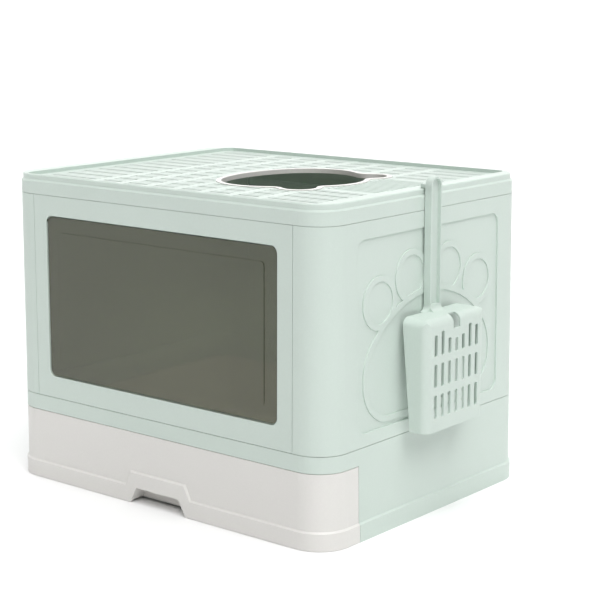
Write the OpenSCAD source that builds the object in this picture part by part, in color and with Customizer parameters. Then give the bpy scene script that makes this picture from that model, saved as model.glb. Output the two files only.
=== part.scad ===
// Top entry litter box: a clip-together tub with a drawer, a swinging window,
// a lift-off grille lid with a cat-head entry hole, and a scoop hung on its rim.
// X runs along the front, Y to the back and Z up; the origin is at the middle
// of the underside. The front faces -Y and the scoop hangs on the +X side.

/* [Overall] */
// Width of the foot flange, the widest part of the box
overall_w = 485; // [440:1:540]
// Depth of the foot flange
overall_d = 380; // [350:1:430]
// Height to the top of the lid rim
overall_h = 365; // [345:1:400]
// Plan radius of the flange corners
flange_r = 39; // [37:0.5:48]
// Wall thickness of the moulded panels
wall = 2.6; // [2:0.1:3.2]
// Inward lean of every side wall, in degrees
lean = 0.53; // [0:0.01:1]

/* [Foot flange] */
// Height of the foot flange
flange_h = 21.4; // [16:0.2:26]
// How far the flange stands proud of the wall
flange_proud = 1.9; // [1:0.1:3]
// Height of the bevel on top of the flange
flange_bevel = 1.9; // [1:0.1:3]

/* [Base] */
// Height of the base shell
base_h = 102; // [96:0.5:115]
// Thickness of the floor plate
floor_t = 2.5; // [2:0.1:4]
// Distance of the floor plate's front edge behind the flange front
floor_set_back = 25; // [20:1:60]
// Height of the ledge that carries the panels, below the top of the base
ledge_drop = 7; // [5:0.5:12]
// Width of the ledge
ledge_w = 3.2; // [2.8:0.1:5]
// Thickness of the ledge
ledge_t = 3; // [2:0.1:5]

/* [Drawer] */
// Height of the drawer front
drawer_h = 83.4; // [70:0.2:86]
// How far the drawer front wraps back along each side, from the flange front
drawer_wrap = 59; // [45:1:90]
// Height of the tray rim
tray_rim_z = 79; // [60:0.5:80]
// Clearance between the tray and the base side walls
tray_gap = 3.4; // [2:0.1:8]
// Clearance under the tray
tray_lift = 0.4; // [0.3:0.1:2]
// Plan radius of the tray's rear corners
tray_r = 30; // [20:1:40]
// Width of the finger notch at the bottom
notch_w = 88; // [60:1:120]
// Width of the finger notch at its top
notch_top_w = 66; // [40:1:100]
// Height of the finger notch
notch_h = 19; // [12:0.5:24]
// Height of the raised band over the notch
notch_band_h = 38; // [32:0.5:50]
// Width of the raised band at its foot
notch_band_w = 106; // [96:1:150]
// Width of the raised band at its top
notch_band_top_w = 86; // [70:1:120]

/* [Panels] */
// Half the width of the front and rear panels
seam_x = 196; // [188:0.5:200]
// Gap in the seams between the panels and at their foot
seam_gap = 0.6; // [0.3:0.05:1]
// Width of the strip that backs each upright seam
seam_strip_w = 11; // [8:0.5:16]
// Clearance between the strips and the panels they back
strip_gap = 0.15; // [0.1:0.05:0.4]
// Width of the recessed field in each side panel
field_w = 264; // [220:1:280]
// Lower edge of the recessed field
field_z0 = 117; // [112:1:119]
// Distance of the recessed field below the top of the panels
field_drop = 18.5; // [12:0.5:30]
// Corner radius of the recessed field
field_r = 12; // [6:0.5:20]
// Depth of the recessed field
field_depth = 2; // [1:0.1:3]

/* [Paw relief] */
// Distance of the pad's inner outline from the sides of the recessed field
pad_side_gap = 17; // [12:0.5:30]
// Height of the pad's widest line over the foot of the recessed field
pad_mid_up = 55; // [52:0.5:62]
// Rise of the pad's inner outline over its widest line
pad_rise = 80; // [72:0.5:81]
// Drop of the pad's inner outline below its widest line
pad_drop = 44; // [42:0.5:45]
// Radius of the pad's lower corners
pad_corner_r = 40; // [30:0.5:41]
// Radius of the pad's outline at its widest line
pad_side_r = 52; // [45:0.5:60]
// Distance of the inner toes from the middle of the panel
toe_in_y = 35; // [32:0.5:40]
// Distance of the inner toes below the top of the recessed field
toe_in_drop = 50; // [42:0.5:60]
// Distance of the outer toes from the sides of the recessed field
toe_side_gap = 40; // [34:0.5:46]
// Distance of the outer toes below the top of the recessed field
toe_out_drop = 71; // [62:0.5:80]
// Inner radius of a toe
toe_r = 22.8; // [18:0.1:25]
// Width of the raised outline
ridge_w = 6.6; // [4:0.1:7]
// Height of the raised outline
ridge_h = 1.4; // [0.8:0.1:1.8]

/* [Window] */
// Width of the window opening
window_w = 351; // [300:1:360]
// Distance of the window opening below the top of the panels
window_drop = 23; // [20:0.5:60]
// Height of the window's lower edge above the floor
window_z = 128; // [126:0.5:135]
// Corner radius of the window opening
window_r = 9; // [6:0.5:15]
// Depth of the lip round the window opening
window_lip = 10; // [9:0.5:14]
// Thickness of the flap
flap_t = 3; // [2.4:0.1:3.6]
// Clearance round the flap
flap_gap = 1.5; // [1:0.1:2.5]
// Distance of the flap's face behind the panel's face
flap_inset = 1.2; // [0.8:0.1:2.5]
// Width of the flap's plain border round its raised field
flap_border = 17; // [10:0.5:30]
// Height of the flap's raised field
flap_field_t = 0.8; // [0.4:0.1:1.1]
// Corner radius of the flap's raised field
flap_field_r = 4.5; // [3:0.5:10]
// Diameter of the flap's hinge pins
pin_d = 4; // [3.4:0.1:4.6]
// Radial clearance of the hinge pins
pin_gap = 0.1; // [0.05:0.01:0.1]
// Wall left behind each hinge socket, and the pin's clearance at its end
socket_skin = 0.5; // [0.4:0.05:0.8]
// Distance of the hinge axis below the top of the opening
pin_drop = 6; // [5.5:0.1:8]

/* [Lid] */
// Height of the lid above the panels
lid_h = 23; // [18:0.5:30]
// Height of the lid's lower, full-width skirt
skirt_h = 17; // [12:0.5:20]
// Step from the skirt in to the raised rim
rim_step = 2; // [1:0.1:3]
// Thickness of the raised rim
rim_t = 3; // [2.4:0.1:4]
// Bevel on the outer edge of the raised rim
rim_bevel = 1; // [0.5:0.1:2]
// Width of the rim's broad top at the left and right
rim_side_w = 18; // [12:0.5:24]
// Corner radius of the recess inside the rim
recess_r = 12; // [10:0.5:16]
// Depth of the grille plate below the top of the rim
plate_drop = 4.2; // [3.6:0.1:8]
// Thickness of the grille plate
plate_t = 2.5; // [2:0.1:3.5]
// Depth of the rib that locates the lid inside the panels
locator_h = 7; // [4:0.5:12]
// Clearance between the lid and what it sits on
lid_gap = 0.4; // [0.3:0.05:0.8]

/* [Grille] */
// Length of a slot
slot_len = 29.7; // [20:0.1:34]
// Distance between columns of slots
slot_pitch_x = 41.3; // [38:0.1:60]
// Distance between rows of slots
slot_pitch_y = 8.4; // [7:0.1:12]
// Width of a narrow slot
slot_thin = 1.9; // [1:0.1:2.4]
// Width of a wide slot
slot_wide = 3.8; // [2.5:0.1:4.5]
// Rows from one row of wide slots to the next
wide_every = 3; // [2:1:6]
// Plain margin between the slots and the rim at the front and back
slot_margin_y = 5; // [3:0.5:12]
// Plain margin between the slots and the rim at the left and right
slot_margin_x = 11.7; // [3:0.1:16]
// How far the row after each wide row stands nearer to it
slot_shift = 1; // [0:0.1:1.5]
// Plain margin between the slots and the ring
slot_gap = 1; // [0.8:0.1:4]

/* [Entry hole] */
// Distance of the hole's widest line from the right end of the foot flange
hole_in = 195.5; // [182:0.5:212]
// Clear width across the cheeks
hole_w = 180; // [150:1:200]
// Clear length from the chin to the widest line of the head
chin_len = 74.5; // [66:0.5:80]
// Clear length from the widest line to the forehead
brow_len = 84; // [74:1:86]
// Radius of a cheek
cheek_r = 60; // [50:1:64]
// Distance of a cheek's middle from the widest line, to the chin's side
cheek_x = 8; // [4:0.5:12]
// Radius of an ear
ear_r = 19; // [14:0.5:20]
// Distance of an ear's middle from the widest line
ear_x = 59; // [56:0.1:64]
// Distance of an ear's middle from the middle of the hole
ear_y = 65; // [62:0.1:68]
// Radius of the forehead between the ears
brow_r = 60; // [56:1:70]
// Radius of the hollow between forehead and ear
brow_fillet = 14; // [9:0.5:16]
// Radius of the hollow between cheek and ear
cheek_fillet = 18; // [12:0.5:24]
// Width of the ring's top flange
ring_flange_w = 6; // [5:0.1:9]
// Thickness of the ring's top flange
ring_flange_t = 1.9; // [1.5:0.1:3]
// Depth of the seat in the plate that takes the ring's flange
ring_seat = 1; // [0.4:0.1:1.4]
// Thickness of the ring's inner wall
ring_wall = 2.2; // [1.6:0.1:3]
// Depth of the ring's inner wall below the plate
ring_depth = 2; // [2:0.1:12]
// Clearance between the ring and the plate
ring_gap = 0.3; // [0.1:0.05:0.6]
// Width of a lug that holds the ring down
lug_w = 14; // [8:1:24]
// Reach of a lug beyond the ring's wall
lug_t = 1.6; // [1:0.1:3]
// Height of a lug
lug_h = 1.6; // [1.2:0.1:1.7]

/* [Ribbed cover] */
// Distance of the cover's middle from the right end of the foot flange
cover_in = 72.5; // [71:0.5:76]
// Length of the cover along X
cover_len = 72; // [40:1:76]
// Width of the cover along Y
cover_w = 106; // [70:1:120]
// Plain margin between the slots and the cover
cover_margin = 7; // [3:0.5:12]
// Gap in front of the cover and behind it
cover_gap = 1.4; // [0.4:0.1:2]
// Thickness of the cover without its ribs
cover_t = 1.6; // [1.2:0.1:2]
// Height of the cover's ribs
rib_h = 0.9; // [0.6:0.1:1.2]
// Width of a rib
rib_w = 4.6; // [3:0.1:6]

/* [Scoop] */
// Overall length of the scoop
scoop_len = 270; // [230:1:280]
// Width of the scoop's bowl
scoop_w = 110; // [90:1:130]
// Height of the scoop's top above the lid rim
scoop_rise = 13; // [10:0.5:24]
// Place of the scoop along the depth
scoop_y = -4; // [-40:1:40]
// Length of the bowl
bowl_len = 124; // [100:1:134]
// Depth of the bowl at its root
bowl_depth = 33; // [24:0.5:40]
// Depth of the bowl at its lip
bowl_lip_depth = 22; // [14:0.5:30]
// Wall thickness of the bowl
bowl_wall = 2.2; // [1.8:0.1:3]
// Radius of the bowl's upright edges and its top edges
bowl_r = 9.5; // [6:0.5:14]
// Width of the notch in the bowl's top edge
bowl_notch_w = 13; // [8:0.5:20]
// Depth of the notch in the bowl's top edge
bowl_notch_h = 15; // [8:0.5:18]
// Width of the handle
handle_w = 20; // [16:0.5:28]
// Radius of the flares where the handle meets the bowl
flare_r = 7; // [3:0.5:12]
// Thickness of the handle
handle_t = 8.5; // [6:0.1:12]
// Distance of the handle's back from the lid skirt
handle_off = 0.8; // [0.8:0.1:6]
// Width of the groove in the handle
groove_w = 16; // [10:0.5:17]
// Depth of the groove in the handle
groove_depth = 4.2; // [2:0.1:5]
// Thickness of the hook
hook_t = 4; // [3:0.1:6]
// Width of the hook
hook_w = 13; // [8:0.5:18]
// Thickness of the hook's leg
hook_leg_t = 2; // [1.5:0.1:3]
// Clearance between the hook and the rim
hook_gap = 0.5; // [0.3:0.1:1]
// Clearance round the hook's leg in its slot in the rim
hook_slot_gap = 1.5; // [0.5:0.1:3]
// Clearance between the hook's leg and the web under the rim
hook_lift = 1.5; // [1:0.1:3]
// Columns of slots in the bowl
sieve_cols = 7; // [3:1:7]
// Rows of slots in the bowl
sieve_rows = 3; // [2:1:3]
// Distance between columns of slots in the bowl
sieve_pitch = 12.9; // [10:0.1:13.5]
// Width of a slot in the bowl
sieve_w = 5.6; // [4:0.1:7]
// Length of a slot in the bowl
sieve_len = 25.5; // [18:0.5:28]
// Length of the top row's middle slot, under the notch
sieve_mid_len = 15; // [8:0.5:18]
// Solid bar between rows of slots in the bowl
sieve_bar = 8.5; // [6:0.5:12]
// Distance of the lowest slots above the bowl's lip
sieve_z = 15; // [6:0.5:20]
// Corner radius of a slot in the bowl
sieve_r = 1.9; // [1:0.1:2]

/* [Hidden] */
$fn = 64;
big = 1000;
green = "#c9dfd3";
white = "#eceae5";
smoke = "#62625466";
corner_x = overall_w / 2 - flange_r;
corner_y = overall_d / 2 - flange_r;
slope = tan(lean);
panel_z = base_h + seam_gap;
panel_top = overall_h - lid_h;
ledge_z = base_h - ledge_drop;
plug_top = panel_z + ledge_drop;
front_y = -overall_d / 2;
drawer_edge_y = front_y + drawer_wrap;
drawer_mouth_z = drawer_h + seam_gap;
tray_z = floor_t + tray_lift;
tray_half_w = corner_x + wall_r(tray_rim_z) - wall - tray_gap;
tray_back_y = corner_y + wall_r(tray_rim_z) - wall - tray_gap;
window_top = panel_top - window_drop;
window_h = window_top - window_z;
hinge_z = window_top - pin_drop;
skirt_z = panel_top + lid_gap;
skirt_top = panel_top + skirt_h;
plate_top = overall_h - plate_drop;
plate_z = plate_top - plate_t;
rim_r = wall_r(skirt_top) - rim_step;
scoop_top = overall_h + scoop_rise;
scoop_z0 = scoop_top - scoop_len;
bowl_top = scoop_z0 + bowl_len;
handle_x = corner_x + wall_r(skirt_z) + handle_off;
hook_leg_x = corner_x + rim_r - rim_t - hook_gap - hook_leg_t;
bowl_back_x = handle_x + handle_t / 2;
bowl_front_x = bowl_back_x + bowl_depth;
bowl_lip_x = bowl_front_x - bowl_lip_depth;
field_z1 = panel_top - field_drop;
field_h = field_z1 - field_z0;
field_mid_z = (field_z0 + field_z1) / 2;
stub_r = wall_r(0) - 2 * wall;
ear_place = [ear_x, ear_y];
web_z = skirt_top - wall;
hole_x = overall_w / 2 - hole_in;
cover_x = overall_w / 2 - cover_in;
// The cover is centred on a row of slots
cover_y = slot_pitch_y / 2;
pad_half_w = field_w / 2 - pad_side_gap;
toe_out_y = field_w / 2 - toe_side_gap;
// Lengths of the bowl's top row of slots as shares of a full slot, from the
// second column outwards
top_row_share = [0.67, 1.04, 0.92];

// ---------------------------------------------------------------- helpers

// Corner radius of the leaning outer wall at a height
function wall_r(z) = flange_r - flange_proud - (z - flange_h) * slope;

// Points along an arc, both ends included
function arc(cx, cy, r, a0, a1, steps = 16) =
  [for (i = [0:steps]) let (a = a0 + (a1 - a0) * i / steps) [cx + r * cos(a), cy + r * sin(a)]];

// Sweeps a profile round the plan of the box. Its points are the distance
// from the corner axes and the height.
module around(profile) {
  for (turn = [0:3])
    let (x = turn == 0 || turn == 3 ? corner_x : -corner_x, y = turn < 2 ? corner_y : -corner_y)
      translate([x, y, 0])
        rotate([0, 0, 90 * turn])
          rotate_extrude(angle = 90)
            polygon(profile);
  for (side = [0, 180])
    rotate([0, 0, side]) {
      translate([corner_x, 0, 0])
        rotate([90, 0, 0])
          linear_extrude(2 * corner_y, center = true)
            polygon(profile);
      rotate([0, 0, 90])
        translate([corner_y, 0, 0])
          rotate([90, 0, 0])
            linear_extrude(2 * corner_x, center = true)
              polygon(profile);
    }
}

// Flat plate inside the walls, out to a distance from the corner axes
module plate(r, z0, z1) {
  translate([0, 0, z0])
    linear_extrude(z1 - z0)
      plan_outline(r);
}

module plan_outline(r) {
  round_rect(2 * (corner_x + r), 2 * (corner_y + r), r);
}

// Points of a wall's outer face between two heights
function outer_face(z0, z1) = [[wall_r(z0), z0], [wall_r(z1), z1]];

// Points of the foot: the flange, its bevel and the wall above it
function foot_face(foot_z, top) = concat(
  [[flange_r, foot_z], [flange_r, flange_h - flange_bevel]],
  outer_face(flange_h, top)
);

// Flat outline with round corners, centred
module round_rect(w, h, r) {
  square([w - 2 * r, h], center = true);
  square([w, h - 2 * r], center = true);
  for (x = [-1, 1], y = [-1, 1])
    translate([x * (w / 2 - r), y * (h / 2 - r)])
      circle(r);
}

// Frames on the leaning walls: X along the wall, Y up it, Z out of it
module on_right_wall(z) {
  translate([corner_x + wall_r(z), 0, z])
    rotate([0, -lean, 0])
      rotate([90, 0, 90])
        children();
}

module on_front_wall(z) {
  translate([0, -corner_y - wall_r(z), z])
    rotate([-lean, 0, 0])
      rotate([90, 0, 0])
        children();
}

// Upright slab that keeps everything between two planes across the width
module keep_between(x0, x1) {
  intersection() {
    children();
    translate([x0, -big / 2, -1])
      cube([x1 - x0, big, big]);
  }
}

// ------------------------------------------------------------ root pieces

// Tub that everything stands on, open in front for the drawer
module base_shell() {
  color(green) {
    difference() {
      union() {
        around(concat(
          foot_face(0, base_h),
          [[wall_r(base_h) - wall, base_h],
           [wall_r(ledge_z) - wall, ledge_z],
           [wall_r(ledge_z) - wall - ledge_w, ledge_z],
           [wall_r(ledge_z) - wall - ledge_w, ledge_z - ledge_t],
           [wall_r(ledge_z) - wall, ledge_z - ledge_t],
           [wall_r(floor_t) - wall, floor_t],
           [stub_r, floor_t],
           [stub_r, 0]]
        ));
        plate(stub_r + 1, 0, floor_t);
      }
      translate([-big / 2, front_y - big, -1])
        cube([big, big + drawer_wrap + seam_gap, drawer_mouth_z + 1]);
    }
    floor_tongue();
  }
}

// Stretch of the floor plate that reaches forward under the drawer
module floor_tongue() {
  tongue_w = 2 * (corner_x - tray_gap);
  translate([-tongue_w / 2, front_y + floor_set_back, 0])
    cube([tongue_w, drawer_wrap, floor_t]);
}

// Whole ring of panels, before it is parted at the seams. Its lower edge
// plugs into the base and stands on the ledge.
module panel_ring() {
  plug_out = wall + strip_gap;
  plug_in = plug_out + ledge_w - lid_gap;
  around(concat(
    outer_face(panel_z, panel_top),
    [[wall_r(panel_top) - wall, panel_top],
     [wall_r(plug_top) - wall, plug_top],
     [wall_r(plug_top) - plug_in, plug_top],
     [wall_r(plug_top) - plug_in, ledge_z],
     [wall_r(panel_z) - plug_out, ledge_z],
     [wall_r(panel_z) - plug_out, panel_z]]
  ));
}

// Flat stretch of the panel ring on one side of the box
module flat_panel() {
  intersection() {
    panel_ring();
    translate([-seam_x + seam_gap / 2, -big, 0])
      cube([2 * seam_x - seam_gap, big, big]);
  }
}

// Front panel with the lipped window opening and its hinge eyes
module front_frame() {
  mid = window_z + window_h / 2;
  color(green)
    difference() {
      union() {
        flat_panel();
        on_front_wall(mid)
          translate([0, 0, -window_lip])
            linear_extrude(window_lip - wall / 2)
              round_rect(window_w + 2 * wall, window_h + 2 * wall, window_r + wall);
      }
      on_front_wall(mid)
        translate([0, 0, -window_lip - 1])
          linear_extrude(window_lip + 2)
            round_rect(window_w, window_h, window_r);
      on_hinge_axis()
        rotate([0, 90, 0])
          cylinder(h = window_w + 2 * (wall - socket_skin), d = pin_d + 2 * pin_gap, center = true);
    }
}

// Frame on the flap's hinge axis, leaning with the front wall
module on_hinge_axis() {
  on_front_wall(hinge_z)
    translate([0, 0, -flap_inset - flap_t / 2])
      rotate([-90, 0, 0])
        children();
}

// Smoked pane that swings on two moulded pins
module window_flap() {
  pane_w = window_w - 2 * flap_gap;
  pane_h = window_h - 2 * flap_gap;
  pane_mid = window_h / 2 - pin_drop;
  pin_len = flap_gap + wall - 2 * socket_skin;
  color(smoke)
    on_hinge_axis() {
      rotate([90, 0, 0])
        translate([0, -pane_mid, 0]) {
          translate([0, 0, -flap_t / 2])
            linear_extrude(flap_t)
              round_rect(pane_w, pane_h, window_r - flap_gap);
          linear_extrude(flap_t / 2 + flap_field_t)
            round_rect(pane_w - 2 * flap_border, pane_h - 2 * flap_border, flap_field_r);
        }
      for (side = [0, 180])
        rotate([0, 0, side])
          translate([pane_w / 2 - flap_t / 2, 0, 0])
            rotate([0, 90, 0])
              cylinder(h = flap_t / 2 + pin_len, d = pin_d);
    }
}

// Right-hand shell: wraps both corners and carries the paw relief
module right_side_shell() {
  color(green)
    side_shell();
}

// Left-hand shell, the mirror image of the right
module left_side_shell() {
  color(green)
    mirror([1, 0, 0])
      side_shell();
}

module side_shell() {
  difference() {
    union() {
      keep_between(seam_x + seam_gap / 2, overall_w)
        panel_ring();
      on_right_wall(field_mid_z)
        translate([0, 0, -wall - field_depth])
          linear_extrude(wall + field_depth / 2)
            round_rect(field_w + 2 * wall, field_h + 2 * wall, field_r + wall);
    }
    on_right_wall(field_mid_z)
      translate([0, 0, -field_depth])
        linear_extrude(field_depth + 1)
          round_rect(field_w, field_h, field_r);
  }
  on_right_wall(field_mid_z)
    translate([0, 0, -field_depth - wall / 2])
      linear_extrude(wall / 2 + ridge_h)
        paw_ridge();
  seam_strips();
}

// Raised outline of a paw: a pad and four toes that end against it
module paw_ridge() {
  difference() {
    polygon(pad_outline(ridge_w));
    polygon(pad_outline(0));
  }
  difference() {
    for (side = [-1, 1]) {
      toe_ridge(side * toe_in_y, toe_in_drop);
      toe_ridge(side * toe_out_y, toe_out_drop);
    }
    polygon(pad_outline(ridge_w / 2));
  }
}

module toe_ridge(x, drop) {
  translate([x, field_h / 2 - drop])
    difference() {
      circle(toe_r + ridge_w);
      circle(toe_r);
    }
}

// Outline of the pad, grown outwards: an oval above its widest line, and a
// flat bottom with round corners below it
function pad_outline(grow) =
  let (
    mid = pad_mid_up - field_h / 2,
    lift = pad_rise - pad_side_r,
    reach = pad_half_w - pad_side_r,
    drop = (reach * reach - lift * lift) / (2 * lift),
    tilt = atan2(drop, reach),
    low_x = pad_half_w - pad_corner_r,
    low_y = mid - pad_drop + pad_corner_r
  )
  concat(
    arc(low_x, low_y, pad_corner_r + grow, -90, 0),
    arc(reach, mid, pad_side_r + grow, 0, tilt),
    arc(0, mid - drop, pad_rise + drop + grow, tilt, 180 - tilt),
    arc(-reach, mid, pad_side_r + grow, 180 - tilt, 180),
    arc(-low_x, low_y, pad_corner_r + grow, 180, 270)
  );

// Strips behind the upright seams, so that the flat panels can't be seen past
module seam_strips() {
  keep_between(seam_x + seam_gap / 2, seam_x + seam_strip_w)
    strip_ring(wall / 2, plug_top - ledge_drop / 2);
  keep_between(seam_x - seam_strip_w, seam_x + seam_strip_w)
    strip_ring(wall + strip_gap, plug_top + strip_gap);
}

// Ring inside the panels, from a distance behind their face and from a height
module strip_ring(out, z0) {
  strip_in = 2 * wall + strip_gap;
  z1 = skirt_z - locator_h - lid_gap;
  around([
    [wall_r(z0) - out, z0],
    [wall_r(z1) - out, z1],
    [wall_r(z1) - strip_in, z1],
    [wall_r(z0) - strip_in, z0]
  ]);
}

// Plain rear panel with a recessed field
module rear_panel() {
  color(green)
    mirror([0, 1, 0])
      difference() {
        union() {
          flat_panel();
          on_front_wall(field_mid_z)
            translate([0, 0, -wall - field_depth])
              linear_extrude(wall + field_depth / 2)
                round_rect(window_w + 2 * wall, field_h + 2 * wall, field_r + wall);
        }
        on_front_wall(field_mid_z)
          translate([0, 0, -field_depth])
            linear_extrude(field_depth + 1)
              round_rect(window_w, field_h, field_r);
      }
}

// ----------------------------------------------------------------- drawer

// White litter drawer: a tray behind a front that wraps both corners
module drawer() {
  color(white)
    difference() {
      union() {
        in_front_of(drawer_edge_y) {
          around(concat(
            foot_face(tray_lift, drawer_h),
            [[wall_r(drawer_h) - wall, drawer_h],
             [wall_r(tray_z) - wall, tray_z + wall],
             [stub_r, tray_z + wall],
             [stub_r, tray_z],
             [wall_r(0) - wall, tray_z],
             [wall_r(0) - wall, tray_lift]]
          ));
          plate(stub_r + 1, tray_z, tray_z + wall);
        }
        notch_band();
        finger_pocket(wall);
        tray_walls();
        for (side = [0, 1])
          mirror([side, 0, 0])
            drawer_shoulder();
      }
      finger_pocket(0);
    }
}

// Wall between the wide front and the narrower tray behind it
module drawer_shoulder() {
  in_x = tray_half_w - wall;
  translate([0, drawer_edge_y, 0])
    rotate([90, 0, 0])
      linear_extrude(wall)
        polygon([
          [in_x, tray_z],
          [corner_x + wall_r(tray_z) - wall / 2, tray_z],
          [corner_x + wall_r(tray_rim_z) - wall / 2, tray_rim_z],
          [in_x, tray_rim_z]
        ]);
}

// Keeps what lies in front of a plane across the depth
module in_front_of(y) {
  intersection() {
    children();
    translate([-big / 2, y - big, -big / 2])
      cube([big, big, big]);
  }
}

// Floor and walls of the tray behind the front
module tray_walls() {
  translate([0, 0, tray_z])
    linear_extrude(wall)
      tray_outline(0);
  translate([0, 0, tray_z])
    linear_extrude(tray_rim_z - tray_z)
      difference() {
        tray_outline(0);
        tray_outline(wall);
      }
}

// Plan of the tray: square in front, round corners at the back
module tray_outline(inset) {
  half_w = tray_half_w - inset;
  back_y = tray_back_y - inset;
  start_y = drawer_edge_y - wall - inset;
  r = tray_r - inset;
  translate([-half_w, start_y])
    square([2 * half_w, back_y - r - start_y]);
  translate([-half_w + r, start_y])
    square([2 * (half_w - r), back_y - start_y]);
  for (x = [-half_w + r, half_w - r])
    translate([x, back_y - r])
      circle(r);
}

// Band of the flange, raised over the finger notch, with a bevelled edge
module notch_band() {
  hull() {
    band_slab(0, flange_bevel);
    band_slab(flange_bevel, 0);
  }
}

// Slab of the band, drawn in from its outline, that starts at a depth behind
// the flange's front and ends inside the wall
module band_slab(inset, depth) {
  back = flange_proud + wall / 2;
  z0 = flange_h - 2 * flange_bevel;
  z1 = notch_band_h - inset;
  half_low = notch_band_w / 2 - inset;
  half_high = notch_band_top_w / 2 - inset;
  translate([0, front_y + back, 0])
    rotate([90, 0, 0])
      linear_extrude(back - depth)
        polygon([[-half_low, z0], [half_low, z0], [half_high, z1], [-half_high, z1]]);
}

// Pocket behind the notch that takes the fingers, grown outwards for its walls
module finger_pocket(grow) {
  foot_z = grow > 0 ? tray_z : -1;
  depth = floor_set_back - 2 * wall + grow;
  translate([0, front_y + depth, 0])
    rotate([90, 0, 0])
      linear_extrude(grow > 0 ? depth - wall : depth + 1)
        polygon([
          [-notch_w / 2 - grow, foot_z],
          [notch_w / 2 + grow, foot_z],
          [notch_top_w / 2 + grow, notch_h + grow],
          [-notch_top_w / 2 - grow, notch_h + grow]
        ]);
}

// -------------------------------------------------------------------- lid

// Lift-off lid: skirt, raised rim and slotted plate in one moulding, with a
// rib below that drops inside the panels
module lid() {
  bevel_z = skirt_top - rim_step;
  skirt_in = wall_r(skirt_z) - wall;
  rib_out = skirt_in - lid_gap;
  rib_in = rib_out - wall;
  color(green) {
    around(concat(
      outer_face(skirt_z, bevel_z),
      [[rim_r, skirt_top],
       [rim_r, overall_h - rim_bevel],
       [rim_r - rim_bevel, overall_h],
       [rim_r - rim_t, overall_h],
       [rim_r - rim_t, web_z],
       [skirt_in, web_z],
       [skirt_in, skirt_z + wall],
       [rib_in, skirt_z + wall],
       [rib_in, skirt_z - locator_h],
       [rib_out, skirt_z - locator_h],
       [rib_out, skirt_z]]
    ));
    difference() {
      rim_layer(overall_h - wall, overall_h, big);
      hook_slot();
    }
    rim_layer(plate_z, overall_h, wall);
    grille_plate(plate_z, plate_t - ring_seat, ring_wall + ring_gap);
    grille_plate(plate_top - ring_seat, ring_seat, ring_flange_w + ring_gap);
    cover_tray();
  }
}

// Layer round the recess, as broad as asked for but no broader than the rim
module rim_layer(z0, z1, breadth) {
  translate([0, 0, z0])
    linear_extrude(z1 - z0)
      difference() {
        intersection() {
          plan_outline(rim_r - rim_t / 2);
          recess_outline(breadth);
        }
        recess_outline(0);
      }
}

// Slot in the rim's broad top that takes the leg of the scoop's hook
module hook_slot() {
  half_w = hook_w / 2 + hook_slot_gap;
  x0 = hook_leg_x - hook_slot_gap;
  translate([x0, scoop_y - half_w, overall_h - 2 * wall])
    cube([corner_x + rim_r - rim_t - x0, 2 * half_w, 4 * wall]);
}

// Plan of the recess inside the rim, grown outwards
module recess_outline(grow) {
  half_w = corner_x + rim_r - rim_side_w + grow;
  half_d = corner_y + rim_r - rim_t + grow;
  round_rect(2 * half_w, 2 * half_d, recess_r + grow);
}

// Layer of the grille plate, with the hole's outline grown by a distance
module grille_plate(z, t, grow) {
  translate([0, 0, z])
    linear_extrude(t)
      difference() {
        recess_outline(wall / 2);
        translate([hole_x, 0])
          polygon(cat_outline(grow));
        grille_slots();
        cover_outline(seam_gap / 2, cover_gap, ring_flange_w);
      }
}

// Slots of the grille: columns along X, with every so many rows wide
module grille_slots() {
  half_x = corner_x + rim_r - rim_side_w - slot_margin_x;
  half_y = corner_y + rim_r - rim_t - slot_margin_y;
  cols = 2 * ceil((half_x - slot_pitch_x + slot_len / 2) / slot_pitch_x);
  rows = 2 * floor((half_y - slot_wide / 2) / slot_pitch_y + 0.5);
  intersection() {
    difference() {
      square([2 * half_x, 2 * half_y], center = true);
      translate([hole_x, 0])
        polygon(cat_outline(ring_flange_w + ring_gap + slot_gap));
      cover_strip();
    }
    for (col = [0:cols - 1], row = [0:rows - 1])
      translate([(col - (cols - 1) / 2) * slot_pitch_x, (row - (rows - 1) / 2) * slot_pitch_y])
        grille_slot(row % wide_every, col == 0 || col == cols - 1);
  }
}

// Strip without slots from the cover to the rim
module cover_strip() {
  half_w = cover_w / 2 + cover_margin;
  translate([cover_x - cover_len / 2 - slot_gap, cover_y - half_w])
    square([big, 2 * half_w]);
}

// One slot, by its place in its group of rows; the outermost reach the margin
module grille_slot(place, outermost) {
  long = outermost ? 2 * slot_pitch_x - slot_len : slot_len;
  translate([0, place == 1 ? -slot_shift : 0])
    square([long, place == 0 ? slot_wide : slot_thin], center = true);
}

// Shallow tray under the plate that carries the ribbed cover
module cover_tray() {
  translate([0, 0, plate_z - wall]) {
    linear_extrude(wall)
      cover_outline(wall, wall, ring_wall + ring_gap);
    linear_extrude(wall + plate_t / 2)
      difference() {
        cover_outline(wall, wall, ring_wall + ring_gap);
        cover_outline(seam_gap / 2, cover_gap, ring_flange_w);
      }
  }
}

// Plan of the cover, grown along X and along Y, and clear of the entry hole
module cover_outline(grow_x, grow_y, hole_margin) {
  difference() {
    translate([cover_x, cover_y])
      square([cover_len + 2 * grow_x, cover_w + 2 * grow_y], center = true);
    translate([hole_x, 0])
      polygon(cat_outline(hole_margin));
  }
}

// Insert between the ears with ribs at the pitch of the grille
module ribbed_cover() {
  cover_z = plate_top - cover_t - rib_h;
  color(green) {
    translate([0, 0, cover_z])
      linear_extrude(cover_t)
        cover_outline(0, 0, ring_flange_w + ring_gap);
    translate([0, 0, cover_z + cover_t / 2])
      linear_extrude(cover_t / 2 + rib_h)
        intersection() {
          cover_outline(0, 0, ring_flange_w + ring_gap);
          cover_ribs();
        }
  }
}

module cover_ribs() {
  ribs = floor((cover_w - rib_w) / 2 / slot_pitch_y);
  for (rib = [-ribs:ribs])
    translate([cover_x, cover_y + rib * slot_pitch_y])
      square([cover_len, rib_w], center = true);
}

// ------------------------------------------------------------- entry ring

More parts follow.
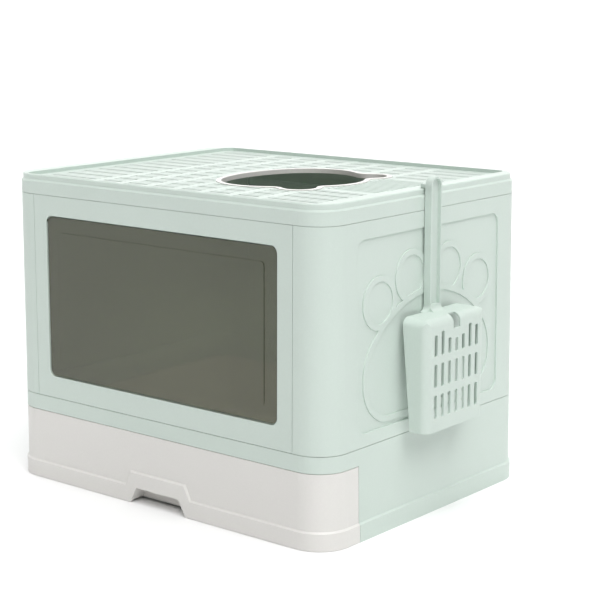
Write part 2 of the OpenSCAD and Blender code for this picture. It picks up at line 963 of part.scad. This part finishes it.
// Direction from one point to another
function toward(a, b) = atan2(b[1] - a[1], b[0] - a[0]);

// Middle of the round that fills the corner between two outer circles
function fillet_centre(a, ra, b, rb, f, side) =
  let (
    gap = norm(b - a),
    far_a = ra + f,
    far_b = rb + f,
    swing = acos((far_a * far_a + gap * gap - far_b * far_b) / (2 * far_a * gap)),
    way = toward(a, b) + side * swing
  )
  a + far_a * [cos(way), sin(way)];

// Cat-head outline grown outwards: chin to -X, ears to +X, from arcs that
// meet in line
function cat_outline(grow) =
  let (
    half = cat_half(grow),
    last = len(half) - 1
  )
  concat(half, [for (i = [last - 1:-1:1]) [half[i][0], -half[i][1]]]);

function cat_half(grow) =
  let (
    cheek = [-cheek_x, hole_w / 2 - cheek_r],
    lift = chin_len - cheek_x - cheek_r,
    chin = [(cheek[1] * cheek[1] - lift * lift) / (2 * lift) - cheek_x, 0],
    brow = [brow_len - brow_r, 0],
    nape = fillet_centre(brow, brow_r, ear_place, ear_r, brow_fillet, -1),
    jaw = fillet_centre(cheek, cheek_r, ear_place, ear_r, cheek_fillet, 1)
  )
  concat(
    arc(brow[0], 0, brow_r + grow, 0, toward(brow, nape), 10),
    arc(nape[0], nape[1], brow_fillet - grow, toward(brow, nape) + 180, toward(nape, ear_place), 10),
    arc(ear_place[0], ear_place[1], ear_r + grow, toward(ear_place, nape), toward(ear_place, jaw), 18),
    arc(jaw[0], jaw[1], cheek_fillet - grow, toward(jaw, ear_place), toward(jaw, cheek), 10),
    arc(cheek[0], cheek[1], cheek_r + grow, toward(cheek, jaw), toward(chin, cheek), 14),
    arc(chin[0], 0, chin_len + chin[0] + grow, toward(chin, cheek), 180, 14)
  );

// White ring that snaps into the plate and guards the hole's edge
module entry_ring() {
  color(white)
    translate([hole_x, 0, 0]) {
      translate([0, 0, plate_top - ring_seat])
        ring_of(ring_flange_w, ring_flange_t);
      translate([0, 0, plate_z - ring_depth])
        ring_of(ring_wall, ring_depth + plate_t - ring_seat + ring_flange_t / 2);
      ring_lug(-chin_len - ring_wall, 0, 0);
      for (side = [-1, 1]) {
        ring_lug(-cheek_x, side * (hole_w / 2 + ring_wall), 90);
        ring_lug(ear_x, side * (ear_y + ear_r + ring_wall), 90);
      }
    }
}

module ring_of(width, height) {
  linear_extrude(height)
    difference() {
      polygon(cat_outline(width));
      polygon(cat_outline(0));
    }
}

// Lug under the plate that holds the ring down
module ring_lug(x, y, turn) {
  translate([x, y, plate_z - lug_h - ring_gap])
    rotate([0, 0, turn])
      translate([-lug_t, -lug_w / 2, 0])
        cube([2 * lug_t, lug_w, lug_h]);
}

// ------------------------------------------------------------------ scoop

// Sieve scoop: box-shaped bowl with slots, ribbed handle and rim hook
module scoop() {
  color(green)
    translate([0, scoop_y, 0]) {
      difference() {
        bowl_block(0);
        bowl_block(bowl_wall);
        sieve_slots();
        bowl_notch();
      }
      difference() {
        handle_block();
        handle_groove();
      }
      handle_toe();
      rim_hook();
    }
}

// Bowl, from a round-cornered plan met by a side profile and a front outline,
// with its open side to the wall and its lip at the bottom
module bowl_block(inset) {
  half_w = scoop_w / 2 - inset;
  front_x = bowl_front_x - inset;
  r = bowl_r - inset;
  top = bowl_top - inset;
  reach = inset > 0 ? big / 10 : 0;
  intersection() {
    translate([0, 0, scoop_z0 - 1])
      linear_extrude(bowl_len + 2)
        polygon(concat(
          [[bowl_back_x - 1 - reach, half_w], [bowl_back_x - 1 - reach, -half_w]],
          arc(front_x - r, -half_w + r, r, -90, 0),
          arc(front_x - r, half_w - r, r, 0, 90)
        ));
    rotate([90, 0, 0])
      linear_extrude(scoop_w + 2, center = true)
        polygon(concat(
          [[bowl_back_x - reach, top],
           [bowl_lip_x - reach, scoop_z0 - reach / 10],
           [front_x, scoop_z0 - reach / 10]],
          arc(front_x - r, top - r, r, 0, 90)
        ));
    rotate([90, 0, 90])
      linear_extrude(big, center = true)
        polygon(concat(
          [[-half_w, scoop_z0 - 1 - reach], [half_w, scoop_z0 - 1 - reach]],
          arc(half_w - r, top - r, r, 0, 90),
          arc(r - half_w, top - r, r, 90, 180)
        ));
  }
}

// Slots of the bowl, the top row shortened under the notch
module sieve_slots() {
  middle = (sieve_cols - 1) / 2;
  for (col = [0:sieve_cols - 1], row = [0:sieve_rows - 1])
    let (
      out = floor(abs(col - middle)),
      top_len = out == 0 ? sieve_mid_len : sieve_len * top_row_share[out - 1],
      long = row == sieve_rows - 1 ? top_len : sieve_len,
      low = scoop_z0 + sieve_z + row * (sieve_len + sieve_bar)
    )
      translate([bowl_front_x - 2 * bowl_wall, (col - middle) * sieve_pitch, low + long / 2])
        rotate([90, 0, 90])
          linear_extrude(3 * bowl_wall)
            round_rect(sieve_w, long, sieve_r);
}

// Square notch in the top edge of the bowl's front
module bowl_notch() {
  translate([bowl_front_x - bowl_r, -bowl_notch_w / 2, bowl_top - bowl_notch_h])
    cube([2 * bowl_r, bowl_notch_w, 2 * bowl_notch_h]);
}

// Handle with a round top and a flared foot
module handle_block() {
  foot_z = bowl_top - bowl_wall;
  translate([handle_x, 0, 0])
    rotate([90, 0, 90])
      linear_extrude(handle_t) {
        translate([-handle_w / 2, foot_z])
          square([handle_w, scoop_top - handle_w / 2 - foot_z]);
        translate([0, scoop_top - handle_w / 2])
          circle(handle_w / 2);
        difference() {
          translate([-handle_w / 2 - flare_r, foot_z])
            square([handle_w + 2 * flare_r, flare_r + bowl_wall]);
          for (side = [-1, 1])
            translate([side * (handle_w / 2 + flare_r), bowl_top + flare_r])
              circle(flare_r);
        }
      }
}

// Fillet between the front of the handle and the top of the bowl
module handle_toe() {
  front_x = handle_x + handle_t;
  foot_z = bowl_top - bowl_wall;
  rotate([90, 0, 0])
    linear_extrude(handle_w, center = true)
      difference() {
        translate([front_x - (handle_t - groove_depth) / 2, foot_z])
          square([flare_r + (handle_t - groove_depth) / 2, flare_r + bowl_wall]);
        translate([front_x + flare_r, bowl_top + flare_r])
          circle(flare_r);
      }
}

module handle_groove() {
  top = scoop_top - (handle_w - groove_w) / 2 - groove_w / 2;
  translate([handle_x + handle_t - groove_depth, 0, 0])
    rotate([90, 0, 90])
      linear_extrude(groove_depth + 1) {
        translate([-groove_w / 2, bowl_top + flare_r])
          square([groove_w, top - bowl_top - flare_r]);
        translate([0, top])
          circle(groove_w / 2);
      }
}

// Hook over the lid rim: an arm and a short leg down its inner side
module rim_hook() {
  leg_z = skirt_top + hook_lift;
  arm_z = overall_h + hook_gap;
  translate([hook_leg_x, -hook_w / 2, arm_z])
    cube([handle_x + handle_t / 2 - hook_leg_x, hook_w, hook_t]);
  translate([hook_leg_x, -hook_w / 2, leg_z])
    cube([hook_leg_t, hook_w, arm_z + hook_t / 2 - leg_z]);
}

base_shell();
drawer();
front_frame();
rear_panel();
left_side_shell();
right_side_shell();
window_flap();
lid();
entry_ring();
ribbed_cover();
scoop();
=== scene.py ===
"""Looks of the top entry litter box: moulded plastics, a smoked window and a studio.

Lengths are in metres, but for those named MM, colours in linear RGB and noise scales
in features per metre.
"""

import math

import bpy
from mathutils import Euler, Matrix, Vector

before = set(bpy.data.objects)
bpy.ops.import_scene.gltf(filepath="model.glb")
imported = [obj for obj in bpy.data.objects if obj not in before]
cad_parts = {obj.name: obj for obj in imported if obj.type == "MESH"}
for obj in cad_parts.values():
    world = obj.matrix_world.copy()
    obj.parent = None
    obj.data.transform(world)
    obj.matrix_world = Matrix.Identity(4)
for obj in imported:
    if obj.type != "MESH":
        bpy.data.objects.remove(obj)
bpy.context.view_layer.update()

# The photograph's camera, fitted to the box's straight edges: it stands to the right of
# the front, is turned to the left from facing the back, and looks down
CAMERA_PLACE = Vector((1.2373, -1.4366, 0.5898))
CAMERA_TURN = math.radians(40.18)
CAMERA_TILT = math.radians(11.53)
CAMERA_ROLL = math.radians(-0.27)
CAMERA_SHIFT = (0.0312, 0.0120)
SENSOR_MM = 36.0
LENS_MM = 2.71 * SENSOR_MM

GREEN = (0.630, 0.720, 0.665)
WHITE = (0.778, 0.765, 0.737)
SMOKE = (0.300, 0.307, 0.193)
PAPER = (0.940, 0.940, 0.940)

# The ribbed insert and the scoop are a shade darker, and the ring a shade lighter
INSERT_SHADE = 0.99
RING_SHADE = 1.05

# The box is lit by a softbox above its right side and by a backdrop behind it, which
# the lid reflects. Directions lead from the box to the light.
SOFTBOX_STRENGTH = 2.95
SOFTBOX_ANGLE = math.radians(60.0)
SOFTBOX_DIRECTION = Vector((0.42, -0.26, 0.87))
ROOM_STRENGTH = 0.06
BACKDROP_STRENGTH = 1.5
BACKDROP_DIRECTION = Vector((-0.62, 0.74, 0.26))
BACKDROP_EDGE_COSINE = 0.2
BACKDROP_CORE_COSINE = 0.9

# Wide enough to fill every view up to the horizon
FLOOR_HALF_WIDTH = 200.0


# ---------------------------------------------------------------- node helpers

# Noise seldom leaves this range
NOISE_LOW = 0.3
NOISE_HIGH = 0.7

# Cosine between a face's normal and the rounded one: up to the first an edge counts as
# sharp, and from the second on a face counts as flat
SHARP_COSINE = 0.75
FLAT_COSINE = 0.99
BEVEL_SAMPLES = 6

# Colour sockets of the Mix node, whose names are shared by its other data types
MIX_COLOUR_A = 6
MIX_COLOUR_B = 7
MIX_COLOUR_RESULT = 2


class Nodes:
    """Adds and links the nodes of one tree."""

    def __init__(self, tree):
        self.tree = tree

    def add(self, kind, **settings):
        node = self.tree.nodes.new(kind)
        for name, value in settings.items():
            setattr(node, name, value)
        return node

    def feed(self, target, value):
        """Links an output to the target, or sets the target to a plain value."""
        if isinstance(value, bpy.types.NodeSocket):
            self.tree.links.new(value, target)
        else:
            target.default_value = value

    def dot(self, first, second):
        node = self.add("ShaderNodeVectorMath", operation="DOT_PRODUCT")
        self.feed(node.inputs[0], first)
        self.feed(node.inputs[1], second)
        return node.outputs["Value"]

    def span(self, source, low, high, start=NOISE_LOW, end=NOISE_HIGH):
        """Maps a value between start and end to one between low and high."""
        node = self.add("ShaderNodeMapRange")
        self.feed(node.inputs["Value"], source)
        self.feed(node.inputs["From Min"], start)
        self.feed(node.inputs["From Max"], end)
        self.feed(node.inputs["To Min"], low)
        self.feed(node.inputs["To Max"], high)
        return node.outputs["Result"]


class Material(Nodes):
    """Builds one material round its Principled shader."""

    def __init__(self, name):
        self.material = bpy.data.materials.new(name)
        self.material.use_nodes = True
        super().__init__(self.material.node_tree)
        self.shader = self.tree.nodes["Principled BSDF"]
        self.place = self.add("ShaderNodeTexCoord").outputs["Object"]

    def shade(self, sockets):
        """Feeds the shader's sockets, each with an output or a plain value."""
        for name, value in sockets.items():
            self.feed(self.shader.inputs[name], value)

    def noise(self, scale, detail=3.0, stretch=(1.0, 1.0, 1.0)):
        mapping = self.add("ShaderNodeMapping")
        self.feed(mapping.inputs["Scale"], stretch)
        self.feed(mapping.inputs["Vector"], self.place)
        texture = self.add("ShaderNodeTexNoise")
        self.feed(texture.inputs["Scale"], scale)
        self.feed(texture.inputs["Detail"], detail)
        self.feed(texture.inputs["Vector"], mapping.outputs["Vector"])
        return texture.outputs["Fac"]

    def blend(self, factor, first, second):
        """Mixes two colours, each an output or a plain colour."""
        node = self.add("ShaderNodeMix", data_type="RGBA")
        self.feed(node.inputs["Factor"], factor)
        for index, colour in ((MIX_COLOUR_A, first), (MIX_COLOUR_B, second)):
            plain = not isinstance(colour, bpy.types.NodeSocket)
            self.feed(node.inputs[index], (*colour, 1.0) if plain else colour)
        return node.outputs[MIX_COLOUR_RESULT]

    def bump(self, height, depth, strength, normal=None):
        node = self.add("ShaderNodeBump")
        self.feed(node.inputs["Strength"], strength)
        self.feed(node.inputs["Distance"], depth)
        self.feed(node.inputs["Height"], height)
        if normal is not None:
            self.feed(node.inputs["Normal"], normal)
        return node.outputs["Normal"]

    def rounded(self, radius):
        """Normals that turn smoothly round sharp edges."""
        node = self.add("ShaderNodeBevel", samples=BEVEL_SAMPLES)
        self.feed(node.inputs["Radius"], radius)
        return node.outputs["Normal"]

    def edge_mask(self, radius):
        """One along sharp edges and zero on flat faces."""
        normal = self.add("ShaderNodeNewGeometry").outputs["Normal"]
        cosine = self.dot(normal, self.rounded(radius))
        return self.span(cosine, 1.0, 0.0, start=SHARP_COSINE, end=FLAT_COSINE)


def scaled(colour, factor):
    return tuple(min(1.0, part * factor) for part in colour)


# ------------------------------------------------------------- moulded plastic

# Colour: large faint blotches, fine specks and a painted highlight that makes the edges paler
MOTTLE_SCALE = 7.0
MOTTLE_SHADE = 0.975
SPECK_SCALE = 420.0
SPECK_SHADE = 1.04
SPECK_SHARE = 0.35
SPECK_RANGE = (0.45, 0.75)
EDGE_HIGHLIGHT_SHARE = 0.5

# Surface: rounded edges, long shallow waves, fine grain and a roughness that varies
EDGE_RADIUS = 0.00045
WAVE_SCALE = 6.0
WAVE_DEPTH = 0.0012
WAVE_STRENGTH = 0.35
GRAIN_DEPTH = 0.00006
GRAIN_STRENGTH = 0.6
SHEEN_SCALE = 38.0
SMOOTHER = 0.05
ROUGHER = 0.07

# Body: light scatters a little below the surface
POLYPROPYLENE_INDEX = 1.49
SCATTER_WEIGHT = 0.06
SCATTER_RADII = (0.004, 0.005, 0.004)
SCATTER_SCALE = 0.5


def moulded_plastic(name, colour, roughness, grain_scale, edge_highlight_gain=1.12):
    """Satin polypropylene with grain, faint mottling and a painted highlight along its edges."""
    nodes = Material(name)
    blotches = nodes.span(nodes.noise(MOTTLE_SCALE), 0.0, 1.0)
    mottled = nodes.blend(blotches, scaled(colour, MOTTLE_SHADE), colour)
    specks = nodes.span(nodes.noise(SPECK_SCALE, detail=2.0), 0.0, SPECK_SHARE, *SPECK_RANGE)
    speckled = nodes.blend(specks, mottled, scaled(colour, SPECK_SHADE))
    # Painted highlight: the colour is made paler along every sharp edge
    edge_highlight_mask = nodes.span(nodes.edge_mask(2 * EDGE_RADIUS), 0.0, EDGE_HIGHLIGHT_SHARE, start=0.0, end=1.0)
    edge_highlighted = nodes.blend(edge_highlight_mask, speckled, scaled(colour, edge_highlight_gain))
    sheen = nodes.span(
        nodes.noise(SHEEN_SCALE, detail=5.0), roughness - SMOOTHER, roughness + ROUGHER)
    waves = nodes.bump(
        nodes.noise(WAVE_SCALE, detail=1.0), WAVE_DEPTH, WAVE_STRENGTH, nodes.rounded(EDGE_RADIUS))
    grain = nodes.bump(nodes.noise(grain_scale, detail=2.0), GRAIN_DEPTH, GRAIN_STRENGTH, waves)
    nodes.shade({
        "Base Color": edge_highlighted,
        "Roughness": sheen,
        "Normal": grain,
        "IOR": POLYPROPYLENE_INDEX,
        "Subsurface Weight": SCATTER_WEIGHT,
        "Subsurface Radius": SCATTER_RADII,
        "Subsurface Scale": SCATTER_SCALE,
    })
    return nodes.material


# -------------------------------------------------------------- smoked plastic

CLOUD_SCALE = 4.0
CLOUD_SHADE = 0.92
# Painted highlight: how much paler the pane's colour becomes along its edges
PANE_HIGHLIGHT_GAIN = 1.3
PANE_HIGHLIGHT_SHARE = 0.4
PANE_CLARITY = 0.93
PANE_INDEX = 1.58
HAZE_SCALE = 25.0
HAZE_ROUGHNESS = (0.03, 0.08)

# Upright hairlines: the noise is drawn out along Z
SCRATCH_SCALE = 160.0
SCRATCH_STRETCH = (1.0, 1.0, 0.03)
SCRATCH_DEPTH = 0.00002
SCRATCH_STRENGTH = 0.10


def smoked_plastic(name, colour):
    """Clear tinted plastic with a cloudy colour, a painted highlight along its edges, a faint haze
    and hairline scratches.
    """
    nodes = Material(name)
    clouds = nodes.span(nodes.noise(CLOUD_SCALE), 0.0, 1.0)
    cloudy = nodes.blend(clouds, scaled(colour, CLOUD_SHADE), colour)
    # Painted highlight along the pane's edges
    edge_highlight_mask = nodes.span(nodes.edge_mask(EDGE_RADIUS), 0.0, PANE_HIGHLIGHT_SHARE, start=0.0, end=1.0)
    edge_highlighted = nodes.blend(edge_highlight_mask, cloudy, scaled(colour, PANE_HIGHLIGHT_GAIN))
    haze = nodes.span(nodes.noise(HAZE_SCALE, detail=4.0), *HAZE_ROUGHNESS)
    scratches = nodes.noise(SCRATCH_SCALE, detail=1.0, stretch=SCRATCH_STRETCH)
    scratched = nodes.bump(scratches, SCRATCH_DEPTH, SCRATCH_STRENGTH, nodes.rounded(EDGE_RADIUS / 2))
    nodes.shade({
        "Base Color": edge_highlighted,
        "Roughness": haze,
        "Normal": scratched,
        "IOR": PANE_INDEX,
        "Transmission Weight": PANE_CLARITY,
    })
    return nodes.material


# ---------------------------------------------------------------- studio paper

SMUDGE_SCALE = 3.0
SMUDGE_SHADE = 0.995
TOOTH_SCALE = 900.0
TOOTH_DEPTH = 0.0001
TOOTH_STRENGTH = 0.2
PAPER_ROUGHNESS = 0.9
PAPER_SHINE = 0.1


def studio_paper(name, colour):
    """Matt paper with a faint tooth."""
    nodes = Material(name)
    smudges = nodes.span(nodes.noise(SMUDGE_SCALE), 0.0, 1.0)
    smudged = nodes.blend(smudges, scaled(colour, SMUDGE_SHADE), colour)
    tooth = nodes.bump(nodes.noise(TOOTH_SCALE, detail=2.0), TOOTH_DEPTH, TOOTH_STRENGTH)
    nodes.shade({
        "Base Color": smudged,
        "Normal": tooth,
        "Roughness": PAPER_ROUGHNESS,
        "Specular IOR Level": PAPER_SHINE,
    })
    return nodes.material


# ---------------------------------------------------------------------- finish

def dress():
    """Gives every carried-over CAD node its finish."""
    green = moulded_plastic("green_satin", GREEN, roughness=0.42, grain_scale=1500.0)
    green_insert = moulded_plastic(
        "green_insert", scaled(GREEN, INSERT_SHADE), roughness=0.46, grain_scale=1300.0)
    # The white plastic gets a stronger painted highlight along its edges
    white = moulded_plastic(
        "white_satin", WHITE, roughness=0.38, grain_scale=1500.0, edge_highlight_gain=1.25)
    white_ring = moulded_plastic(
        "white_ring", scaled(WHITE, RING_SHADE), roughness=0.33, grain_scale=1700.0)
    smoke = smoked_plastic("smoked_pane", SMOKE)
    finishes = {
        "base_shell": green,
        "front_frame": green,
        "rear_panel": green,
        "left_side_shell": green,
        "right_side_shell": green,
        "lid": green,
        "ribbed_cover": green_insert,
        "scoop": green_insert,
        "drawer": white,
        "entry_ring": white_ring,
        "window_flap": smoke,
    }
    for node, material in finishes.items():
        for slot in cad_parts[node].material_slots:
            slot.material = material


# ---------------------------------------------------------------------- studio

def put_in_scene(name, data):
    thing = bpy.data.objects.new(name, data)
    bpy.context.scene.collection.objects.link(thing)
    return thing


def place_camera():
    lens = bpy.data.cameras.new("camera")
    lens.lens = LENS_MM
    lens.sensor_width = SENSOR_MM
    lens.shift_x, lens.shift_y = CAMERA_SHIFT
    lens.clip_end = 2 * FLOOR_HALF_WIDTH
    camera = put_in_scene("camera", lens)
    level = Euler((math.pi / 2 - CAMERA_TILT, 0.0, CAMERA_TURN)).to_matrix()
    turned = level @ Matrix.Rotation(CAMERA_ROLL, 3, "Z")
    camera.matrix_world = Matrix.Translation(CAMERA_PLACE) @ turned.to_4x4()
    bpy.context.scene.camera = camera


def hang_softbox():
    """One broad lamp, far away."""
    softbox = bpy.data.lights.new("softbox", "SUN")
    softbox.energy = SOFTBOX_STRENGTH
    softbox.angle = SOFTBOX_ANGLE
    lamp = put_in_scene("softbox", softbox)
    lamp.rotation_euler = SOFTBOX_DIRECTION.to_track_quat("Z", "Y").to_euler()


def light_room():
    """A dim white room that brightens towards the middle of the backdrop."""
    world = bpy.data.worlds.new("studio")
    world.use_nodes = True
    bpy.context.scene.world = world
    nodes = Nodes(world.node_tree)
    direction = nodes.add("ShaderNodeTexCoord").outputs["Generated"]
    facing = nodes.dot(direction, BACKDROP_DIRECTION)
    glow = nodes.span(
        facing, ROOM_STRENGTH, BACKDROP_STRENGTH, BACKDROP_EDGE_COSINE, BACKDROP_CORE_COSINE)
    room = nodes.tree.nodes["Background"]
    nodes.feed(room.inputs["Color"], (1.0, 1.0, 1.0, 1.0))
    nodes.feed(room.inputs["Strength"], glow)


def lay_floor():
    """A sheet of paper at height 0, where the box stands."""
    half = FLOOR_HALF_WIDTH
    corners = [(-half, -half, 0), (half, -half, 0), (half, half, 0), (-half, half, 0)]
    mesh = bpy.data.meshes.new("floor")
    mesh.from_pydata(corners, [], [range(len(corners))])
    mesh.materials.append(studio_paper("floor_paper", PAPER))
    floor = put_in_scene("floor", mesh)


# Colours are shown as rendered, with no film curve
bpy.context.scene.view_settings.view_transform = "Standard"
place_camera()
hang_softbox()
light_room()
lay_floor()
dress()
